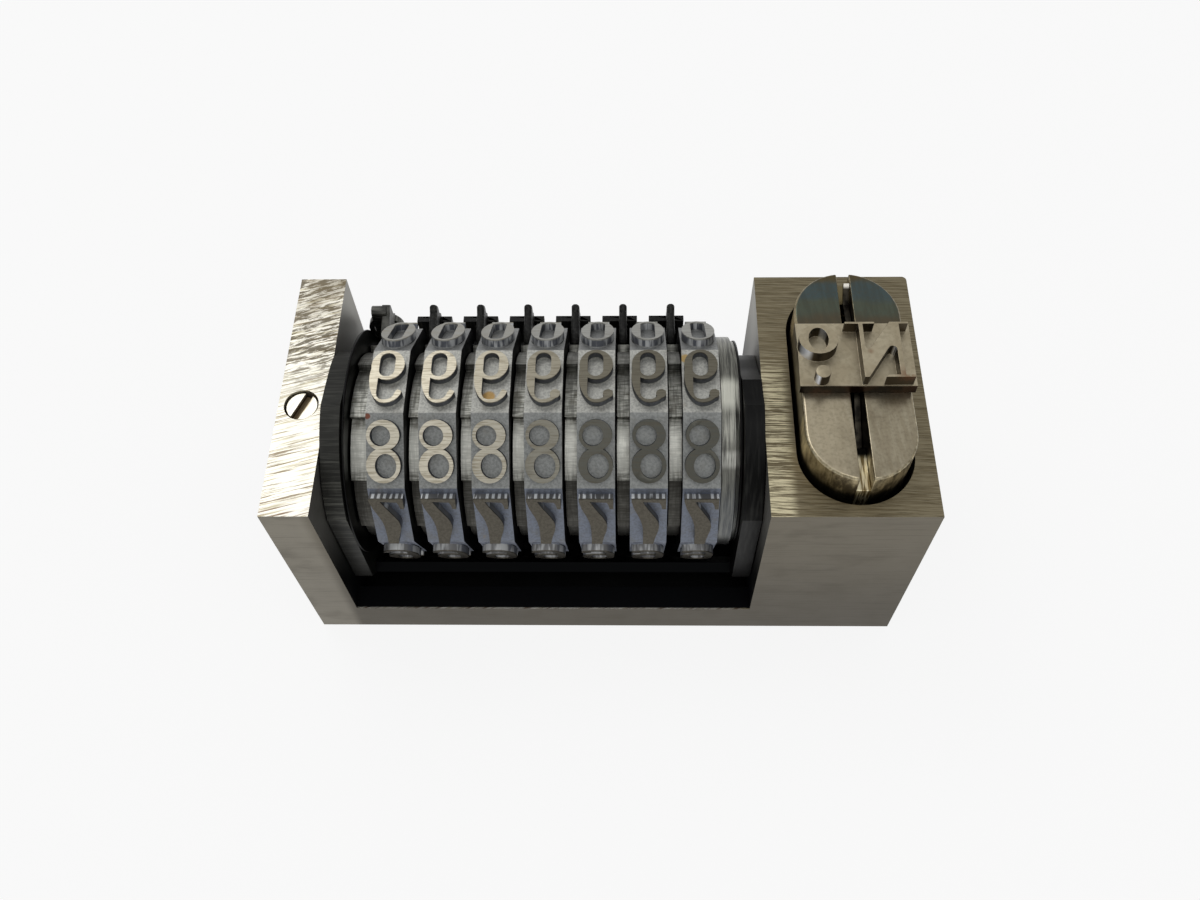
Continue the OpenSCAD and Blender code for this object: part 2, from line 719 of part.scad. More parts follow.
module retaining_pawl(k, plate_top) {
    mid = lane_x(k) - (ratchet_gap) / 2;
    hub_left = mid - pawl_hub_left;
    difference() {
        union() {
            bar(hub_left, hub_left + pawl_hub_width, pawl_y, pawl_z, pawl_hub_radius);
            translate([hub_left, min(pawl_y, pawl_back), pawl_z])
                cube([pawl_hub_width, abs(pawl_back - pawl_y), pawl_plate]);
            translate([hub_left, pawl_back - pawl_plate, pawl_z])
                cube([pawl_hub_width, pawl_plate, pawl_neck + sliver - pawl_z]);
            translate([mid - pawl_plate_left, pawl_back - pawl_plate, pawl_neck])
                cube([pawl_plate_width, pawl_plate, plate_top - pawl_neck]);
            pawl_blade(mid - fin_thickness / 2, fin_thickness, fin_shares);
        }
        bar(mid - wheel_pitch, mid + wheel_pitch, pawl_y, pawl_z, pawl_rod_diameter / 2 + fit);
    }
}
// The first pawl has a wider finger beside its fin, and a ring in place of the plate's top
module retaining_pawl_1() {
    mid = lane_x(1) - (ratchet_gap) / 2;
    finger_left = mid - wide_finger_left;
    pawl_ring_x = mid - pawl_ring_aside;
    ring_z = pawl_plate_top - pawl_ring_drop;
    color(dark)
        difference() {
            union() {
                retaining_pawl(1, ring_z - pawl_ring_in - sliver);
                pawl_blade(finger_left, wide_finger, finger_shares);
                translate([pawl_ring_x, pawl_back, ring_z])
                    rotate([90, 0, 0])
                        cylinder(h = pawl_plate, r = pawl_ring_out);
            }
            translate([pawl_ring_x, pawl_back + overrun, ring_z])
                rotate([90, 0, 0])
                    cylinder(h = pawl_plate + overrun, r = pawl_ring_in);
        }
}
module later_pawl(k) {
    color(dark)
        retaining_pawl(k, pawl_plate_top);
}
module retaining_pawl_rod() {
    color(bright)
        bar(wall_x - pawl_rod_seat, block_x + pawl_rod_seat, pawl_y, pawl_z, pawl_rod_diameter / 2);
}

// Springs: one wire wound round Z, with its middle line's radius, from z = 0 up to the height
function coil_line(r, wire, height, curls) = [for (i = [0:RINGS * curls])
    [r * cos(360 * i / RINGS), r * sin(360 * i / RINGS),
        wire / 2 + (height - wire) * i / (RINGS * curls)]];
function coil_ring(p, q, wire) = let (
    out = [p[0], p[1], 0] / norm([p[0], p[1]]),
    side = cross(q, out) / norm(cross(q, out)))
    [for (s = [0:SIDES - 1]) p + (out * cos(360 * s / SIDES) + side * sin(360 * s / SIDES)) * wire / 2];
function least_gap(line, wire) = min([for (i = [0:len(line) - 1 - RINGS / 2])
    min([for (j = [i + RINGS / 2:len(line) - 1]) norm(line[i] - line[j])])]) - wire;
module coil(r, wire, height, curls) {
    line = coil_line(r, wire, height, curls);
    rise = (height - wire) / (curls * 2 * PI);
    last = len(line) - 1;
    points = [for (p = line) each coil_ring(p, [-p[1], p[0], rise], wire)];
    sides = [for (i = [0:last - 1]) for (s = [0:SIDES - 1]) let (
        a = i * SIDES + s,
        b = i * SIDES + (s + 1) % SIDES)
        each [[a, a + SIDES, b + SIDES], [a, b + SIDES, b]]];
    ends = [[for (s = [0:SIDES - 1]) s], [for (s = [SIDES - 1:-1:0]) last * SIDES + s]];
    echo("least gap of a coil to itself, mm", least_gap(line, wire));
    polyhedron(points, concat(sides, ends));
}
module coil_along_x(x0, x1, y, z, r, curls) {
    translate([x0, y, z])
        rotate([0, 90, 0])
            coil(r, pawl_spring_wire, x1 - x0, curls);
}
module drive_pawl_spring() {
    r = drive_rod_diameter / 2 + pawl_spring_wire / 2 + coil_room;
    color(bright)
        coil_along_x(comb_right + side_gap, right_arm_x - side_gap, round_shaft(rod_radius, rod_angle)[0],
            round_shaft(rod_radius, rod_angle)[1], r, 2);
}
module retaining_pawl_springs() {
    r = pawl_rod_diameter / 2 + pawl_spring_wire / 2 + coil_room;
    color(bright)
        for (k = [1:WHEELS]) {
            hub_right = lane_x(k) - (ratchet_gap) / 2 - pawl_hub_left + pawl_hub_width;
            coil_along_x(hub_right + side_gap, hub_right + wheel_pitch - pawl_hub_width - side_gap,
                pawl_y, pawl_z, r, 1.75);
        }
}
module plunger_spring(side) {
    color(bright)
        translate([plunger_x, plunger_y + side * spring_apart, base_plate])
            coil((plunger_spring_diameter - plunger_spring_wire) / 2, plunger_spring_wire,
                spring_top - base_plate, plunger_spring_curls);
}

// Plunger
module plunger_body() {
    r = plunger_width / 2;
    low = plunger_top - edge_break;
    long_round(plunger_width, plunger_length, plunger_bottom, low);
    translate([plunger_x, plunger_y, low - sliver]) {
        for (s = [-1, 1])
            translate([0, s * (plunger_length / 2 - r), sliver])
                cylinder(h = edge_break, r1 = r, r2 = r - edge_break);
        translate([0, plunger_length / 2 - r, 0])
            rotate([90, 0, 0])
                linear_extrude(plunger_length - 2 * r)
                    polygon([[-r, 0], [r, 0], [r, sliver], [r - edge_break, sliver + edge_break],
                        [edge_break - r, sliver + edge_break], [-r, sliver]]);
    }
}
module plunger() {
    wall = plunger_x - plunger_width / 2;
    color(steel)
        difference() {
            plunger_body();
            translate([plunger_x - top_slot_width / 2, front_y, plunger_top - top_slot_depth])
                cube([top_slot_width, case_depth, top_slot_depth + overrun]);
            translate([plunger_x - top_slot_width / 2, pocket_front, plunger_top - pocket_depth])
                cube([top_slot_width, pocket_back - pocket_front, pocket_depth + overrun]);
            for (s = [-1, 1])
                translate([plunger_x, plunger_y + s * spring_apart, plunger_bottom - overrun])
                    cylinder(h = spring_top - plunger_bottom + overrun,
                        r = plunger_spring_diameter / 2 + spring_room);
            bar(wall - overrun, wall + stud_reach, stud_y, axle_height + plunger_travel / 2, stud_radius);
        }
}
module drive_stud() {
    color(bright)
        bar(right_arm_x + 2 * side_gap, plunger_x - plunger_width / 2 + stud_reach, stud_y,
            axle_height + plunger_travel / 2, stud_radius);
}

// Sign plate: the two letters and the dot stand mirrored, as type does
module letter_n() {
    for (shares = [n_diagonal_shares, n_left_stem_shares, n_right_stem_shares, n_top_left_shares,
        n_top_right_shares, n_foot_shares])
        polygon(sized(shares, letter_n_width, letter_height));
}
n_diagonal_shares = [[0.697, 1], [0.8, 1], [0.8, 0.5], [0.762, 0.51], [0.738, 0.545], [0.7, 0.56],
    [0.66, 0.545], [0.63, 0.505], [0.305, 0], [0.234, 0], [0.234, 0.57], [0.298, 0.57], [0.309, 0.53],
    [0.328, 0.51], [0.352, 0.513], [0.372, 0.527]];
n_left_stem_shares = [[0.234, 0], [0.298, 0], [0.298, 1], [0.234, 1]];
n_right_stem_shares = [[0.762, 0], [0.837, 0], [0.837, 1], [0.762, 1]];
n_top_left_shares = [[0.03, 0.964], [0.476, 0.964], [0.476, 1], [0.03, 1]];
n_top_right_shares = [[0.7, 0.964], [0.98, 0.964], [0.98, 1], [0.7, 1]];
n_foot_shares = [[0.545, 0], [0.98, 0], [0.98, 0.044], [0.575, 0.044]];
module sign_plate() {
    color(steel)
        union() {
            translate([plunger_x - sign_width / 2, sign_front, plunger_top])
                cube([sign_width, sign_depth, sign_thickness]);
            translate([0, 0, plunger_top + sign_thickness - sliver])
                linear_extrude(letter_relief + sliver)
                    translate([plunger_x, sign_front]) {
                        translate([letter_n_left, letter_in])
                            letter_n();
                        difference() {
                            polygon(oval([small_o_x, small_o_in], [small_o_width, small_o_height] / 2));
                            polygon(oval([small_o_x, small_o_in],
                                [small_o_hole_width, small_o_hole_height] / 2));
                        }
                        polygon(oval([dot_x, dot_in], [dot_radius, dot_radius]));
                    }
        }
}
// A bent wire in the slot presses up under the sign plate
module sign_plate_spring() {
    path = [[pocket_front + wire_start, plunger_top - pocket_depth + wire_radius + side_gap],
        [sign_front + sign_depth / 2, plunger_top - 2 * wire_radius],
        [pocket_back - 2 * wire_radius, plunger_top - top_slot_depth + wire_radius + side_gap],
        [pocket_back + wire_tail, plunger_top - wire_radius]];
    color(bright)
        across(wire_x - wire_radius, 2 * wire_radius)
            polygon(stroke(path, [for (p = path) 2 * wire_radius]));
}

frame();
bottom_plate();
bottom_plate_screws();
wheel_shaft();
shaft_lock_screw();
figure_wheel(1);  // figure_wheel_1
figure_wheel(2);  // figure_wheel_2
figure_wheel(3);  // figure_wheel_3
figure_wheel(4);  // figure_wheel_4
figure_wheel(5);  // figure_wheel_5
figure_wheel(6);  // figure_wheel_6
figure_wheel(7);  // figure_wheel_7
ratchet(1);  // ratchet_1
ratchet(2);  // ratchet_2
ratchet(3);  // ratchet_3
ratchet(4);  // ratchet_4
ratchet(5);  // ratchet_5
ratchet(6);  // ratchet_6
ratchet(7);  // ratchet_7
end_disc();
end_collar();
thrust_ring();
left_swing_arm();
right_swing_arm();
swing_tie_bar();
drive_pawl_rod();
drive_pawl();
drive_pawl_spring();
retaining_pawl_rod();
retaining_pawl_1();
later_pawl(2);  // retaining_pawl_2
later_pawl(3);  // retaining_pawl_3
later_pawl(4);  // retaining_pawl_4
later_pawl(5);  // retaining_pawl_5
later_pawl(6);  // retaining_pawl_6
later_pawl(7);  // retaining_pawl_7
retaining_pawl_springs();
plunger();
drive_stud();
sign_plate();
sign_plate_spring();
plunger_spring(-1);  // front_plunger_spring
plunger_spring(1);  // rear_plunger_spring
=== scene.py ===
"""A numbering machine for letterpress printing: its steel case, figure wheels, pawls and plunger."""

import json
import math

import bmesh
import bpy
from mathutils import Matrix, Vector


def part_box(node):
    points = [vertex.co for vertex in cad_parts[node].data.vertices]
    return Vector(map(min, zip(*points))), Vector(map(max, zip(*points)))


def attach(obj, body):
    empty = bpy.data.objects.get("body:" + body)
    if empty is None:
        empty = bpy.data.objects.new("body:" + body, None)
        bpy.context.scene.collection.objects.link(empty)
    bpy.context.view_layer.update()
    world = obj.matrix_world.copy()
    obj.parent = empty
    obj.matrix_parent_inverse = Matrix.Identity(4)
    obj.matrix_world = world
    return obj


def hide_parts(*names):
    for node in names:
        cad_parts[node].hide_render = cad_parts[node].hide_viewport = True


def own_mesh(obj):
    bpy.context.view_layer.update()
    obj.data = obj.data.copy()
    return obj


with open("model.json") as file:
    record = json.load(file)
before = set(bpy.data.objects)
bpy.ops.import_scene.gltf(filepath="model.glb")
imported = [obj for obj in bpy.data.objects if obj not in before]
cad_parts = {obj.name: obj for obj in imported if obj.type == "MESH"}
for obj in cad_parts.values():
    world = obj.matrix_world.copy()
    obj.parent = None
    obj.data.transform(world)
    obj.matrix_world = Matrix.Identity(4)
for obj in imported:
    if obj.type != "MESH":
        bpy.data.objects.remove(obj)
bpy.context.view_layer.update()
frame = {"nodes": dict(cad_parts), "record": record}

MM = 0.001
WHEELS = range(1, 8)
behaviour = frame["record"]["behaviour"]
body_of = {node: body for body, nodes in behaviour["bodies"].items() for node in nodes}
joints = {joint["name"]: joint for joint in behaviour["joints"]}
plunger_travel = joints["plunger_slide"]["range_m"][1]

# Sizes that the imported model's boxes don't show, in millimetres: the room beside the swing arms, how far
# the wheels' flats lie from the shaft's middle, and the height from which the pawls' fingers are round
SWING_ARM_PLAY = 0.1
GROUND_RADIUS = 9.05
PAWL_SHOULDER = 17.7
# The lock screw's slot, turned round Z from the case's length
SCREW_SLOT_TURN = math.radians(67)

# Vertices nearer than MERGE_MM become one. In degrees between two faces: up to SAME_FLAT they are one
# flat, from SHARP on their edge is broken, and from SMOOTH on it shades as a corner
MERGE_MM = 0.00005
SAME_FLAT = 0.5
SHARP = 24
SMOOTH = 40


def corners(node):
    """A node's lowest and highest corners at rest, in millimetres."""
    low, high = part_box(node)
    return low / MM, high / MM


# Places that the finishes are laid out by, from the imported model, in millimetres
case_low, case_high = corners("frame")
shaft_low, shaft_high = corners("wheel_shaft")
axle = (shaft_low + shaft_high) / 2
bay_left = corners("left_swing_arm")[0].x - SWING_ARM_PLAY
bay_right = corners("right_swing_arm")[1].x + SWING_ARM_PLAY
plunger_low, plunger_high = corners("plunger")
sign_low, sign_high = corners("sign_plate")
screw_low, screw_high = corners("shaft_lock_screw")
screw_middle = (screw_low + screw_high) / 2
face_radius = corners("figure_wheel_1")[1].z - axle.z
plunger_middle = (plunger_low.x + plunger_high.x) / 2


def tone(red, green, blue):
    """A screen colour, 0 to 255, as the linear colour that a shader takes."""
    shares = (c / 255 for c in (red, green, blue))
    return tuple(c / 12.92 if c < 0.04 else ((c + 0.055) / 1.055) ** 2.4 for c in shares)


class Value:
    """A number or a colour in a finish's nodes; Python's operators add Math nodes to it."""

    def __init__(self, finish, socket):
        self.finish = finish
        self.socket = socket

    def maths(self, operation, *others):
        """A Math node on this value and others."""
        return self.finish.node("Math", {"operation": operation}, dict(enumerate([self, *others])))

    def __add__(self, other):
        return self.maths("ADD", other)

    def __sub__(self, other):
        return self.maths("SUBTRACT", other)

    def __rsub__(self, other):
        return self.maths("MULTIPLY", -1) + other

    def __mul__(self, other):
        return self.maths("MULTIPLY", other)

    def __pow__(self, other):
        return self.maths("POWER", other)

    def __abs__(self):
        return self.maths("ABSOLUTE")

    __radd__ = __add__
    __rmul__ = __mul__

    def between(self, low, high):
        """0 where this value is at low, 1 where it is at high, and smooth in between."""
        settings = {"interpolation_type": "SMOOTHSTEP", "clamp": True}
        return self.finish.node("MapRange", settings, {0: self, 1: low, 2: high, 3: 0.0, 4: 1.0})


class Finish:
    """One material of the machine: a steel whose colour, roughness and relief come from its nodes."""

    def __init__(self, name):
        self.material = bpy.data.materials.new(name)
        self.material.use_nodes = True
        self.tree = self.material.node_tree
        self.tree.nodes.clear()
        texture = self.tree.nodes.new("ShaderNodeTexCoord")
        here = Value(self, texture.outputs["Object"])
        self.place = self.node("VectorMath", {"operation": "MULTIPLY"}, {0: here, 1: (1 / MM,) * 3})
        self.x, self.y, self.z = self.axes(self.place)
        facing = self.axes(Value(self, texture.outputs["Normal"]))
        self.facing_x, self.facing_y, self.facing_z = facing

    def node(self, kind, settings=None, inputs=None, output=0):
        """Adds any node: its settings first, then the values or links of its sockets."""
        made = self.tree.nodes.new("ShaderNode" + kind)
        for key, value in (settings or {}).items():
            setattr(made, key, value)
        for key, value in (inputs or {}).items():
            if isinstance(value, Value):
                self.tree.links.new(value.socket, made.inputs[key])
            else:
                made.inputs[key].default_value = value
        return Value(self, made.outputs[output])

    def axes(self, vector):
        """The three numbers of a vector."""
        parts = self.node("SeparateXYZ", inputs={0: vector})
        return [Value(self, parts.socket.node.outputs[i]) for i in range(3)]

    def spots(self, per_mm, turn=0.0, detail=3.0, rough=0.55, shift=(0, 0, 0)):
        """Noise with so many grains to the millimetre along each axis, turned by degrees round Z."""
        turned = self.node("Mapping", {"vector_type": "TEXTURE"},
                           {0: self.place, 1: shift, 2: (0, 0, math.radians(turn))})
        scaled = self.node("VectorMath", {"operation": "MULTIPLY"}, {0: turned, 1: per_mm})
        return self.node("TexNoise", {"noise_dimensions": "3D"},
                         {"Vector": scaled, "Scale": 1.0, "Detail": detail, "Roughness": rough})

    def level(self):
        """1 on level tops, 0 on walls, and smooth over the broken edges."""
        return self.facing_z.between(0.8, 0.93)

    def aside(self):
        """1 on the sides that face left or right."""
        return abs(self.facing_x).between(0.85, 0.97)

    def near(self, point, reach):
        """1 at a point, 0 from so many millimetres away."""
        away = self.node("VectorMath", {"operation": "DISTANCE"}, {0: self.place, 1: point}, output=1)
        return away.between(reach, 0)

    def round_the_axle(self):
        """Degrees round the wheel shaft, up from the front, and the height along a flat's normal."""
        up = self.z - axle.z
        out = (self.y * self.y + up * up) ** 0.5
        turn = up.maths("ARCTAN2", self.y * -1)
        from_flat = (turn - math.pi / 10).maths("PINGPONG", math.pi / 10)
        return turn * (180 / math.pi), out * from_flat.maths("COSINE")

    def mix(self, share, first, second):
        """A colour between two colours."""
        pair = {0: share, 6: self.colour(first), 7: self.colour(second)}
        return self.node("Mix", {"data_type": "RGBA"}, pair, output=2)

    def blend(self, share, first, second):
        """A number between two numbers."""
        return first + (second - first) * share

    def colour(self, rgb):
        """What a colour socket takes, for three numbers or for a value."""
        return rgb if isinstance(rgb, Value) else (*rgb, 1.0)

    def steel(self, colour, roughness, relief=None, depth_mm=0.01, metallic=1.0):
        """Closes the finish: the shader with its colour, roughness and relief."""
        shader = self.tree.nodes.new("ShaderNodeBsdfPrincipled")
        out = self.tree.nodes.new("ShaderNodeOutputMaterial")
        self.tree.links.new(shader.outputs[0], out.inputs[0])
        wanted = {"Base Color": self.colour(colour), "Roughness": roughness, "Metallic": metallic}
        if relief is not None:
            wanted["Normal"] = self.node("Bump", inputs={"Strength": 1.0, "Distance": depth_mm * MM,
                                                         "Height": relief})
        for key, value in wanted.items():
            if isinstance(value, Value):
                self.tree.links.new(value.socket, shader.inputs[key])
            else:
                shader.inputs[key].default_value = value
        return self.material


def case_steel():
    """Ground steel, worn and a little brown: filed tops, brushed fronts, smooth walls, a black bay, with
    painted shade low down and painted highlights.
    """
    f = Finish("case_steel")
    x, y, z = f.x, f.y, f.z
    top = f.level()
    edge = f.facing_z.between(0.1, 0.3) * (1 - top) * z.between(case_high.z - 0.4, case_high.z - 0.2)
    block = x.between(bay_right - 1, bay_right - 0.6)
    inside = abs(f.facing_x).between(0.7, 0.9) * x.between(bay_left - 0.6, bay_left - 0.3)
    inside = inside * x.between(bay_right + 0.45, bay_right + 0.15)

    # The left wall's top: pale, with thin slanting scratches; behind, coarse dark file marks
    back = y.between(-2, 4)
    fine = f.spots((0.3, 7, 1), turn=17, detail=4, rough=0.6)
    thin = f.spots((0.3, 8, 1), turn=16, detail=3, shift=(3, 1, 0))
    coarse = f.spots((0.75, 4.2, 1), turn=19, detail=5, rough=0.68, shift=(7, 2, 0))
    wear = f.spots((0.35, 0.35, 0.35), detail=3)
    left_top = f.mix(fine.between(0.32, 0.52), tone(176, 168, 142), tone(226, 223, 212))
    left_top = f.mix(thin.between(0.42, 0.37) * 0.85, left_top, tone(118, 102, 76))
    left_top = f.mix(back * coarse.between(0.55, 0.45) * 0.9, left_top, tone(84, 76, 60))
    left_top = f.mix(y.between(5, 9.5) * wear.between(0.35, 0.6) * 0.45, left_top, tone(112, 100, 78))
    left_top = f.mix(y.between(-9.4, -10.6) * thin.between(0.5, 0.42) * 0.6, left_top, tone(112, 84, 66))

    # The block's top: fine dark lines from side to side in even brown-grey, golden where it is rubbed
    # beside the plunger's hole, with a painted highlight there
    lines = f.spots((0.35, 11, 1), turn=-2, detail=4, rough=0.65)
    hair = f.spots((0.4, 18, 1), turn=-3, detail=3, shift=(2, 5, 0))
    block_top = f.mix(lines.between(0.34, 0.62), tone(112, 102, 80), tone(140, 131, 108))
    block_top = f.mix(hair.between(0.46, 0.38) * 0.6, block_top, tone(66, 58, 42))
    beside_hole = x.between(plunger_low.x - 0.3, plunger_low.x - 1.1)
    rubbed = beside_hole * y.between(4, 0) * lines.between(0.46, 0.56)
    # Painted golden highlight on the rubbed lines beside the plunger's hole
    block_top = f.mix(rubbed * 0.75, block_top, tone(240, 230, 194))

    # Fronts and outer sides: fine level brushing, and painted shade that darkens them towards the foot
    brushing = f.spots((0.22, 0.22, 7), detail=4, rough=0.6)
    clouds = f.spots((0.25, 0.25, 0.5), detail=3, shift=(5, 0, 3))
    outer = f.mix(z.between(1, case_high.z), tone(90, 85, 75), tone(117, 111, 98))
    outer = f.mix(x.between(bay_left, bay_left - 1) * 0.6, outer, tone(150, 145, 133))
    outer = f.mix(brushing.between(0.5, 0.3) * 0.3, outer, tone(66, 62, 53))
    outer = f.mix(clouds.between(0.5, 0.72) * 0.3, outer, tone(78, 72, 60))

    # Walls beside the wheels: smooth, with painted light above and painted shade below
    wall = f.mix(z.between(9, 20.5), tone(38, 38, 37), tone(150, 148, 142))

    colour = f.mix(top, outer, f.mix(block, left_top, block_top))
    colour = f.mix(inside, colour, wall)

    # Edges: dark, with small painted glints
    edge_glints = f.spots((3.5, 3.5, 3.5), detail=3)
    colour = f.mix(edge * edge_glints.between(0.42, 0.52), f.mix(edge * 0.7, colour, tone(70, 62, 48)),
                   tone(236, 230, 208))

    # The bay: near black, from a little behind the rail's front
    bay = y.between(case_low.y + 0.04, case_low.y + 0.16)
    bay = bay * y.between(case_high.y - 0.3, case_high.y - 0.6)
    bay = bay * x.between(bay_left - 0.4, bay_left) * x.between(bay_right + 0.4, bay_right)
    bay = bay * z.between(9.5, 5.5)
    colour = f.mix(bay, colour, tone(22, 23, 25))

    # Relief: the same lines as in the colour, and none on the walls inside
    marks = f.mix(block, fine * 0.5 + coarse * back + thin * 0.4, lines * 0.7 + hair * 0.6)
    marks = f.mix(top, brushing * 0.4, marks)
    marks = f.node("SeparateColor", inputs={0: f.mix(inside, marks, (0.5, 0.5, 0.5))})
    roughness = f.blend(top, 0.44, 0.34) + 0.12 * wear + 0.2 * bay
    return f.steel(colour, roughness, marks, depth_mm=0.014)


def screw_steel():
    """The lock screw's head, with old dirt at the bottom of its slot."""
    f = Finish("screw_steel")
    lines = f.spots((0.5, 5, 1), turn=64, detail=3)
    colour = f.mix(lines.between(0.35, 0.65), tone(206, 200, 182), tone(232, 229, 218))
    across = (f.x - screw_middle.x) * math.sin(SCREW_SLOT_TURN)
    across = across - (f.y - screw_middle.y) * math.cos(SCREW_SLOT_TURN)
    beside_slot = across.between(0.6, 0.3) * across.between(0, 0.3)
    colour = f.mix(beside_slot * lines.between(0.4, 0.6), colour, tone(150, 134, 104))
    depth = f.z.between(screw_high.z - 0.08, screw_high.z - 0.3)
    colour = f.mix(depth, colour, tone(116, 102, 80))
    return f.steel(colour, 0.34 + 0.2 * depth, lines, depth_mm=0.008)


def black_steel(name, low, high, lines_per_mm=(5, 0.5, 0.5)):
    """Blackened steel with a film of oil: fine grinding lines and patches that are rubbed."""
    f = Finish(name)
    lines = f.spots(lines_per_mm, detail=3)
    patches = f.spots((0.45, 0.45, 0.45), detail=4)
    share = lines.between(0.42, 0.75) * 0.6 + patches.between(0.5, 0.8) * 0.35
    # Fewer light marks on up-facing sides, and painted shade that darkens the lower parts, from 11 mm down
    share = share * (1 - 0.7 * f.facing_z.between(0.6, 0.95)) * (0.2 + 0.8 * f.z.between(7, 11))
    colour = f.mix(share, tone(*low), tone(*high))
    return f.steel(colour, 0.34 + 0.2 * patches, lines, depth_mm=0.006, metallic=0.92)


def wheel_steel(k):
    """An engraved wheel: matt grey flats, rubbed figure faces, dark walls and black sides, with painted
    reflections, light and shade.
    """
    f = Finish(f"wheel_{k}_steel")
    angle, height = f.round_the_axle()
    face = height.between(face_radius - 0.14, face_radius - 0.05)
    raised = height.between(GROUND_RADIUS + 0.05, GROUND_RADIUS + 0.13)
    nines, eights, sevens, sixes = (angle.between(a - 0.3, a + 0.3) for a in (108, 72, 36, 0))
    grain = f.spots((5, 5, 5), detail=4, rough=0.65)
    cloud = f.spots((0.8, 0.8, 0.8), detail=4, shift=(k, 0, 0))
    lines = f.spots((0.5, 9, 9), detail=4, rough=0.65, shift=(k, 0, 0))

    # The flats, from the front and below up to the printing line and over it to the back, each in its own
    # tone: a painted reflection of what it faces
    ground = f.mix(sixes, tone(150, 156, 170), tone(124, 130, 142))
    ground = f.mix(sevens, ground, tone(150, 152, 150))
    ground = f.mix(eights, ground, tone(186, 186, 180))
    ground = f.mix(nines, ground, tone(150, 151, 150))
    ground = f.mix(grain.between(0.6, 0.38) * 0.4, ground, tone(92, 93, 94))
    ground = f.mix(cloud.between(0.5, 0.75) * 0.35, ground, tone(122, 120, 112))

    # The first wheels' faces are rubbed bright and warm, the last ones' are dull brown
    last_bright, first_dull = 2.4, 5.2
    dull = min(max((k - last_bright) / (first_dull - last_bright), 0), 1)

    def aged(bright, brown):
        return tone(*(a + (b - a) * dull for a, b in zip(bright, brown)))

    rubbed = aged((204, 197, 178), (108, 104, 92))
    scratched = aged((130, 118, 94), (84, 80, 70))
    below = aged((206, 200, 183), (82, 82, 76))
    worn = f.mix(eights, below, rubbed)
    worn = f.mix(nines, worn, tone(148, 148, 142))
    worn = f.mix(lines.between(0.54, 0.4) * 0.55, worn, scratched)
    worn = f.mix(sevens, f.mix(grain.between(0.4, 0.6), tone(80, 76, 68), tone(92, 88, 79)), worn)

    # Walls: painted shade darkens them below the figures, walls that face up are pale with painted light,
    # and small painted glints sit above the sevens
    above = f.facing_z.between(0.3, 0.6) * (1 - sevens)
    squares = f.x.maths("PINGPONG", 0.235).between(0.1, 0.14)
    some = f.spots((2, 0.3, 0.3), detail=1, shift=(k, 0, 0)).between(0.42, 0.5)
    glints = squares * some * angle.between(25, 27)
    wall = f.mix(sevens, tone(94, 96, 102), tone(62, 66, 76))
    wall = f.mix(above, wall, f.mix(glints, tone(120, 120, 120), tone(238, 240, 240)))
    colour = f.mix(raised * 0.8 + above * 0.2, ground, wall)
    colour = f.mix(face, colour, worn)
    # Sides between the wheels: near black, painted shade in the narrow gaps
    side = f.aside() * (1 - raised)
    colour = f.mix(side, colour, tone(24, 25, 27))

    # The zeros' and the sixes' walls catch the light in short streaks
    streaks = f.spots((3, 0.4, 0.4), detail=2, shift=(k, 4, 0)).between(0.45, 0.6)
    streaks = streaks * abs(angle - 52).between(50, 56)
    colour = f.mix(streaks * raised * (1 - face) * 0.6, colour, tone(206, 208, 208))

    # Oil and rust that stayed on three of the flats
    stains = {1: [((-17.9, -3.1, 22.4), 0.42, (120, 62, 38))],
              3: [((-8.62, -1.5, 22.6), 0.85, (176, 140, 74))],
              7: [((6.75, 2.1, 22.6), 0.6, (168, 140, 80))]}
    for place, reach, tint in stains.get(k, []):
        spot = (f.near(place, reach) + cloud - 0.5).between(0.15, 0.5) * (1 - raised)
        colour = f.mix(spot * 0.85, colour, tone(*tint))
    relief = grain * (1 - face) + lines * face * 0.7
    return f.steel(colour, f.blend(face, 0.56, 0.4), relief, depth_mm=0.014, metallic=0.92)


def ratchet_steel():
    """Ratchets: bright, cut across, with brown patches, a painted reflection, and painted shade towards
    their lower side and on their sides.
    """
    f = Finish("ratchet_steel")
    angle = f.round_the_axle()[0]
    lines = f.spots((0.7, 8, 8), detail=4, rough=0.65)
    streaks = f.spots((5, 0.5, 0.5), detail=3, shift=(1, 2, 3))
    patches = f.spots((0.9, 0.9, 0.9), detail=4)
    colour = f.mix(lines.between(0.35, 0.65), tone(112, 112, 106), tone(188, 188, 180))
    colour = f.mix(streaks.between(0.55, 0.4) * 0.5, colour, tone(78, 78, 74))
    colour = f.mix(patches.between(0.5, 0.7) * 0.5, colour, tone(84, 79, 68))
    # By the turn round the shaft: a painted reflection as a bright band near 54 degrees, painted shade
    # below 36 degrees, a little darker over the top, and painted shade on the sides
    colour = f.mix(abs(angle - 54).between(17, 9) * 0.5, colour, tone(212, 212, 204))
    colour = f.mix(angle.between(38, 34) * 0.85, colour, tone(58, 56, 52))
    colour = f.mix(angle.between(88, 100) * 0.5, colour, tone(84, 84, 80))
    colour = f.mix(f.aside(), colour, tone(28, 28, 29))
    return f.steel(colour, 0.38 + 0.15 * patches, lines + streaks * 0.6, depth_mm=0.014)


def turned_steel():
    """Turned steel, with the lines that the lathe left, painted highlights, and painted shade that makes
    it darker and bluer underneath.
    """
    f = Finish("turned_steel")
    angle = f.round_the_axle()[0]
    rings = f.spots((7, 0.3, 0.3), detail=4, rough=0.65)
    patches = f.spots((0.6, 0.6, 0.6), detail=3)
    colour = f.mix(rings.between(0.35, 0.65), tone(84, 84, 80), tone(138, 138, 130))
    # Painted highlights round 84 and 49 degrees, and painted shade below 44 degrees
    above = abs(angle - 84).between(12, 4) * rings.between(0.25, 0.5)
    before = abs(angle - 49).between(6, 2) * rings.between(0.3, 0.6)
    colour = f.mix(above * 0.8, colour, tone(214, 214, 202))
    colour = f.mix(before * 0.7, colour, tone(214, 214, 206))
    colour = f.mix(angle.between(44, 20) * 0.5, colour, tone(76, 80, 87))
    return f.steel(colour, 0.26 + 0.14 * patches, rings, depth_mm=0.02)


